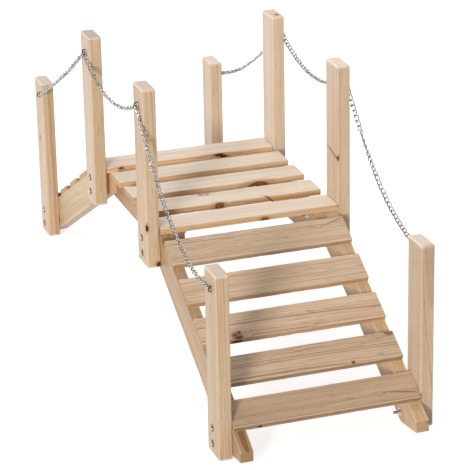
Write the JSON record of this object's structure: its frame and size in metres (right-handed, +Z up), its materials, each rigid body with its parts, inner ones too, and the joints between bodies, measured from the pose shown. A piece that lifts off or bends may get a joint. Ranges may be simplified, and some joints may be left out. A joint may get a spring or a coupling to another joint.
{
  "type": "wooden garden bridge",
  "caption": "Small timber garden bridge: a level slatted deck between two slatted ramps, with hanging chains between upright posts along both sides.",
  "frame": {"origin": "on the ground, under the middle of the deck", "axes": "+X along the bridge to its front ramp, +Y across it to its right side, +Z up"},
  "size_m": [1.918, 0.627, 0.823],
  "materials": {
    "slats": "planed, untreated",
    "stringers": "planed, untreated",
    "posts": "planed, untreated",
    "hardware": "galvanised"
  },
  "bodies": {
    "root": {"deck_slat_1": "slats", "deck_slat_2": "slats", "deck_slat_3": "slats", "deck_slat_4": "slats", "deck_slat_5": "slats", "front_ramp_slat_1": "slats", "front_ramp_slat_2": "slats", "front_ramp_slat_3": "slats", "front_ramp_slat_4": "slats", "front_ramp_slat_5": "slats", "rear_ramp_slat_1": "slats", "rear_ramp_slat_2": "slats", "rear_ramp_slat_3": "slats", "rear_ramp_slat_4": "slats", "rear_ramp_slat_5": "slats", "deck_stringer_left": "stringers", "deck_stringer_right": "stringers", "front_ramp_stringer_left": "stringers", "front_ramp_stringer_right": "stringers", "rear_ramp_stringer_left": "stringers", "rear_ramp_stringer_right": "stringers", "deck_post_front_left": "posts", "deck_post_front_right": "posts", "deck_post_rear_left": "posts", "deck_post_rear_right": "posts", "end_post_front_left": "posts", "end_post_front_right": "posts", "end_post_rear_left": "posts", "end_post_rear_right": "posts", "deck_chain_left": "hardware", "deck_chain_right": "hardware", "front_chain_left": "hardware", "front_chain_right": "hardware", "rear_chain_left": "hardware", "rear_chain_right": "hardware", "staples_left": "hardware", "staples_right": "hardware"}
  },
  "joints": []
}
